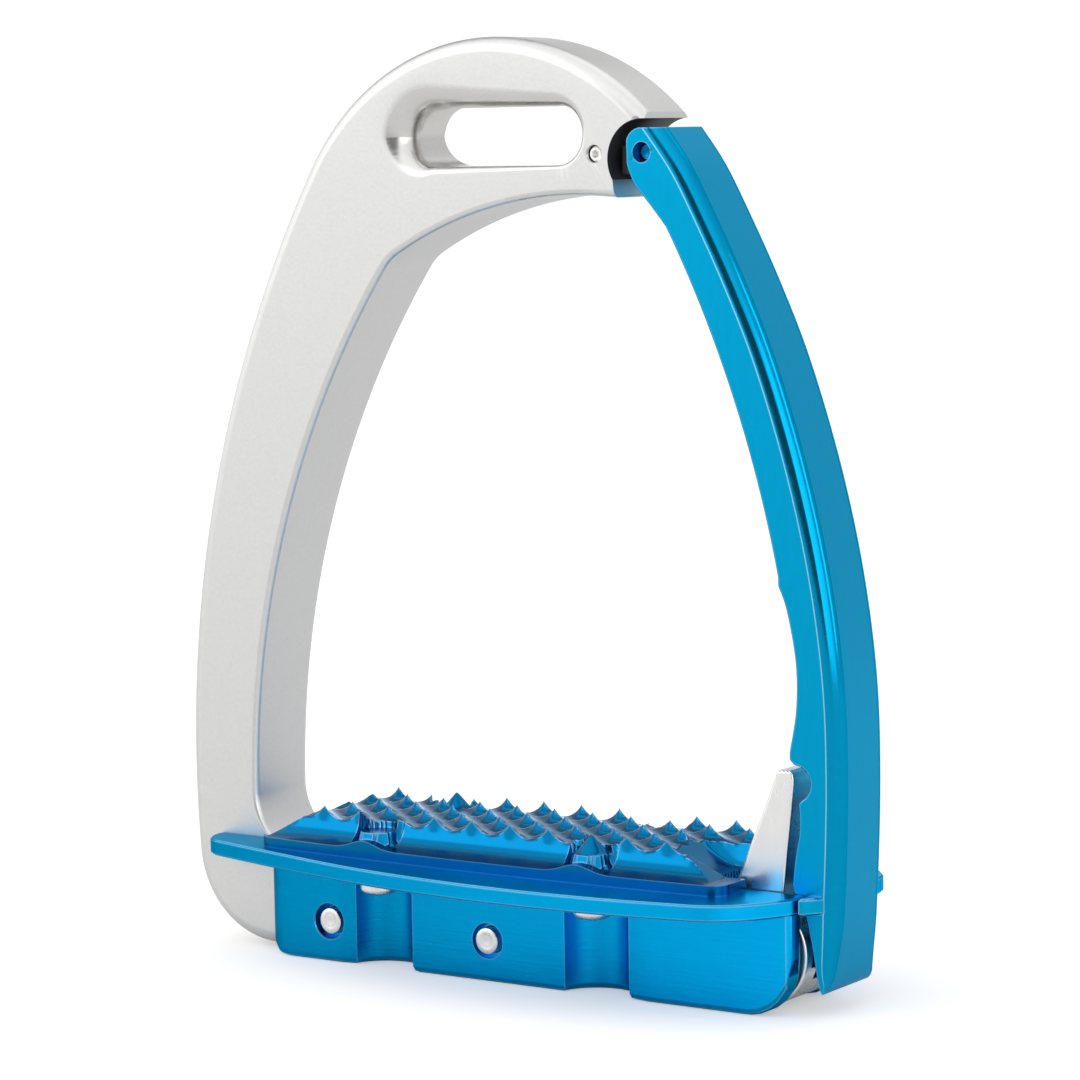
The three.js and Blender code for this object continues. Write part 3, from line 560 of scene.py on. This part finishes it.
def plate_height(x, y):
    """Height of the plate's upper surface: spikes, walls, end ramps, scoop and bosses."""
    r = 2 - y / ROW
    p = (x + 37.3) / PITCH - SHEAR * r
    rows = TIP - 2.5 * (1 - cusp(abs(r % 1 - 0.5) * 2))
    slant = TIP - 2.6 * (1 - cusp(abs(p % 1 - 0.5) * 2))
    h = min(slant, rows if abs(y) < 2 * ROW else TIP)
    t = (abs(y) - 2 * ROW) / 6.0
    if t > 0:
        wall = 1 - (1 - max(0.0, 1 - t) ** 2.6) ** (1 / 2.6)
        h = min(h, DECK_Z + (TIP + 0.3 - DECK_Z) * wall)
    left = DECK_Z - 1 + (TIP + 1.6 - DECK_Z) * ramp((x + 49.8) / 13) ** 0.85
    far = 40.0 + 7 * ramp((y + 10) / 8)
    right = TIP + 0.2 - 0.52 * max(0.0, x - far) - 0.9 * ramp((x - far) / 3)
    if y < 4 and x > 37:
        side = ramp((y + 11.2) / 1.8) * ramp((4 - y) / 3)
        scoop = DECK_Z - 0.1 + 4.4 * (1 - ramp((x - 38) / 9)) ** 1.6
        right = min(right, scoop + (TIP - scoop) * (1 - side) ** 1.5)
    h = min(h, max(left, DECK_Z if abs(y) > 15 else 0), max(right, DECK_Z))
    for bx, by, top in BOSSES:
        d = math.hypot(x - bx, y - by)
        if d < 3.5:
            h = max(min(h, 26.9), min(top, 26.9 + (3.1 - min(3.1, d)) * 1.15))
        elif d < 5.2:
            h = min(h, 24.3 + 1.9 * (1 - math.sqrt(ramp(1 - (1 - (d - 3.5) / 1.7) ** 2)))
                    + max(0.0, (12.6 - abs(y))) * 2.2)
        if abs(y) > 15.0:
            swell = 1.5 * math.exp(-((x - bx) / 3.9) ** 2)
            h = max(h, DECK_Z + swell * ramp((abs(y) - 15) / 1.2))
    if x > 48.9 and abs(y) < 9:
        h = THIN_Z
    return max(h, THIN_Z)


def grip_skin():
    """A grid whose lines follow the rows and the slant of the spikes, closed underneath."""
    n = 30
    ys = [2 * ROW + (19.2 - 2 * ROW) * (1 - k / 20) for k in range(20)]
    ys += [(2 - k / 16) * ROW for k in range(65)]
    ys += [-y for y in reversed(ys[:20])]
    bm = bmesh.new()
    grid = []
    for y in ys:
        r = 2 - max(-2 * ROW, min(2 * ROW, y)) / ROW
        row = []
        for j in range(-9 * n, 13 * n):
            x = -37.3 + PITCH * (j / n + SHEAR * r)
            x = max(PLATE_X[0], min(PLATE_X[1], x))
            lim = plate_half(x)
            yy = max(-lim, min(lim, y))
            row.append(bm.verts.new((x * MM, yy * MM, plate_height(x, yy) * MM)))
        grid.append(row)
    for a, b in zip(grid, grid[1:]):
        for i in range(len(a) - 1):
            bm.faces.new((a[i], b[i], b[i + 1], a[i + 1]))
    bmesh.ops.remove_doubles(bm, verts=bm.verts, dist=2e-6)
    bmesh.ops.dissolve_degenerate(bm, edges=bm.edges, dist=2e-6)
    rim = [e for e in bm.edges if len(e.link_faces) == 1]
    extruded = bmesh.ops.extrude_edge_only(bm, edges=rim)
    for g in extruded["geom"]:
        if isinstance(g, bmesh.types.BMVert):
            g.co.z = PLATE_Z * MM
    rim = [e for e in bm.edges if len(e.link_faces) == 1]
    bmesh.ops.holes_fill(bm, edges=rim, sides=0)
    bmesh.ops.recalc_face_normals(bm, faces=bm.faces)
    return to_object("grip_skin", bm)


grip = grip_skin()
carve(grip, block("lever notch", 49.0, 60, -8.9, 8.9, 20, 40))
finish_piece(grip, GRIP, "stirrup", "grip_blue", "grip_plate", angle=38)

# ---- Lever --------------------------------------------------------------------------------------

lever_outline = loop(
    ([(61.5, 22), (62.4, 30), (63.3, 37), (63.9, 42.6)], 0.5),
    ([(63.6, 43.9), (63.1, 44.4), (62.75, 44.05), (62.3, 44.4), (61.9, 44.05), (61.45, 44.4),
      (61.05, 44.0), (60.6, 44.2), (60.1, 43.7)], 0.3),
    ([(59.6, 42.6), (57.4, 37), (54.2, 29.6), (51.6, 23.4), (50.2, 18.4)], 0.9),
    (arc(PIVOT[0], PIVOT[2], 9.8, 131, 412, 4), 0.5),
)
lever = to_object("lever_skin", prism([lever_outline], rounded(7.9, 4), upright))
pin_mouth = loop(([(63.2, 8.5), (70, 8.5), (70, 15), (63.2, 12.7)], 0))
lug_mouth = loop(([(59.8, 6.6), (70, 5.6), (70, 17), (59.8, 14.4)], 0))
carve(lever,
      lathe("pivot", [(0, -20), (2.1, -20), (2.1, 20), (0, 20)], PIVOT, "Y", 48),
      lathe("catch", [(0, -5.9), (2.1, -5.9), (2.1, 5.9), (0, 5.9)], LATCH, "Y", 40),
      to_object("mouth", prism([pin_mouth], [(0, -5.9), (0, 5.9)], upright)),
      to_object("lug room", prism([lug_mouth], [(0, -4), (0, 4)], upright)),
      block("spring flat", 40, 48.2, -20, 20, 0, 9.3))
finish_piece(lever, STEEL, "lever", "bright_steel", "release_lever", angle=32)

# ---- Pins and screws ----------------------------------------------------------------------------

for name, (x, sunk) in CROSS_PINS.items():
    end = sunk - 0.4
    face = [(0, -end + 0.07), (0.3, -end + 0.06), (0.75, -end), (1.2, -end), (1.25, -end + 0.03),
            (1.35, -end), (2.2, -end), (2.42, -end + 0.1), (2.5, -end + 0.35)]
    pin = lathe(name + "_skin", face + [(r, -h) for r, h in reversed(face)],
                (x, 0, CROSS_PIN_Z), "Y", 64)
    finish_piece(pin, STEEL, "stirrup", "bright_steel", name, angle=28)

screw_profile = [(0, 26.3), (1.6, 26.3), (2.0, 25.9), (2.0, 18.95), (3.7, 18.95)]
screw_profile += [(3.7 * math.sin(a), 15.95 - 1.5 * math.cos(a)) for a in
                  [math.pi / 2 * (1 - k / 10) for k in range(10)]] + [(0, 14.45)]
for where, x, y in (("front_inner", -SCREW_X, -SCREW_Y), ("front_outer", SCREW_X, -SCREW_Y),
                    ("rear_inner", -SCREW_X, SCREW_Y), ("rear_outer", SCREW_X, SCREW_Y)):
    screw = lathe("screw_" + where, screw_profile, (x, y, 0), "Z", 48)
    finish_piece(screw, STEEL, "stirrup", "bright_steel", "tread_screw_" + where)

hinge_pin = lathe("hinge_pin_skin", [(0, -6.05), (0.7, -6.35), (1.3, -6.35), (1.6, -6.05),
                                     (1.6, 6.05), (1.3, 6.35), (0.7, 6.35), (0, 6.05)],
                  HINGE, "Y", 48)
finish_piece(hinge_pin, GRIP, "arm", "dark_steel", "hinge_pin")

screw_top = (SET_SCREW[0], -7.85, SET_SCREW[1])
set_screw = lathe("set_screw_skin", [(0, 0), (1.15, 0), (1.4, 0.25), (1.4, 5.4), (0, 5.4)],
                  screw_top, "Y", 48)
carve(set_screw, lathe("socket", [(0, -1), (0.8, -1), (0.8, 1.6), (0, 1.6)], screw_top, "Y", 6))
finish_piece(set_screw, STEEL, "stirrup", "dark_steel", "hinge_set_screw", angle=28)

for name, mat in (("hinge_knuckle", DARK), ("latch_pin", DARK),
                  ("lever_pivot_pin", STEEL), ("lever_spring", STEEL)):
    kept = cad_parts[name]                   # carried over from CAD with a new surface
    kept.data.materials.clear()
    kept.data.materials.append(mat)

# ---- Stage --------------------------------------------------------------------------------------

floor_mesh = bmesh.new()
bmesh.ops.create_grid(floor_mesh, x_segments=1, y_segments=1, size=6)
floor = to_object("floor", floor_mesh)
paper = bpy.data.materials.new("paper")
paper.use_nodes = True
tree = paper.node_tree
surface = tree.nodes["Principled BSDF"]
surface.inputs["Base Color"].default_value = (0.74, 0.735, 0.73, 1)
surface.inputs["Roughness"].default_value = 0.9
surface.inputs["Emission Color"].default_value = (1, 1, 1, 1)
camera_ray = node(tree, "LightPath").outputs["Is Camera Ray"]
lift = node(tree, "Math", {0: camera_ray, 1: 0.40}, operation="MULTIPLY")
tree.links.new(lift.outputs[0], surface.inputs["Emission Strength"])
floor.data.materials.append(paper)

world = bpy.data.worlds.new("studio")
bpy.context.scene.world = world
world.use_nodes = True
tree = world.node_tree
sky = tree.nodes["Background"]
camera_ray = node(tree, "LightPath").outputs["Is Camera Ray"]
ray = node(tree, "TexCoord").outputs["Generated"]


def towards(direction, low, high, at_low, at_high):
    """A strength that goes from at_low to at_high as the cosine to a direction rises."""
    cosine = node(tree, "VectorMath", {0: ray, 1: direction}, operation="DOT_PRODUCT")
    return node(tree, "MapRange", {"Value": cosine.outputs["Value"], "From Min": low,
                                   "From Max": high, "To Min": at_low, "To Max": at_high},
                interpolation_type="SMOOTHSTEP").outputs[0]


strength = towards((-0.55, -0.80, 0.23), -0.9, 0.9, 0.66, 1.2)
for direction, wide, narrow, share in (           # a dark band, two bright ones and a dim one
        ((0.17, -0.98, 0.05), 0.86, 0.93, 0.12),
        ((0.85, -0.52, 0.10), 0.89, 0.95, 1.9),
        ((-0.62, 0.60, 0.50), 0.86, 0.96, 0.4),
        ((-0.52, 0.84, 0.12), 0.94, 0.985, 2.4)):
    zone = towards(direction, wide, narrow, 1.0, share)
    strength = node(tree, "Math", {0: strength, 1: zone}, operation="MULTIPLY").outputs[0]
shown = node(tree, "Mix", {"Factor": camera_ray, "A": strength, "B": 1.05})
tree.links.new(shown.outputs["Result"], sky.inputs["Strength"])
sky.inputs["Color"].default_value = (1, 1, 1, 1)


def softbox(name, where, aim, width, height, power):
    """A rectangular lamp at a place, in metres, that faces aim."""
    light = bpy.data.lights.new(name, "AREA")
    light.shape, light.size, light.size_y, light.energy = "RECTANGLE", width, height, power
    obj = bpy.data.objects.new(name, light)
    obj.location = where
    obj.rotation_euler = (Vector(aim) - Vector(where)).to_track_quat("-Z", "Y").to_euler()
    bpy.context.scene.collection.objects.link(obj)


softbox("key", (-1.0, -1.1, 0.9), (0, 0, 0.08), 1.0, 1.0, 3.2)
softbox("side", (1.3, 0.3, 0.55), (0, 0, 0.1), 0.35, 0.9, 1.3)
softbox("top", (0.2, 0.6, 1.3), (0, 0, 0.05), 1.0, 1.0, 1.1)

camera_data = bpy.data.cameras.new("camera")
camera_data.lens = 129.5
camera_data.clip_start = 0.01
camera = bpy.data.objects.new("camera", camera_data)
camera.matrix_world = Matrix((                    # columns: right, up, back, place
    (0.83109, -0.04382, 0.55440, 0.4078),
    (0.55587, 0.09601, -0.82570, -0.5997),
    (-0.01705, 0.99440, 0.10415, 0.1580),
    (0, 0, 0, 1)))
bpy.context.scene.collection.objects.link(camera)
bpy.context.scene.camera = camera
bpy.context.scene.view_settings.view_transform = "Standard"
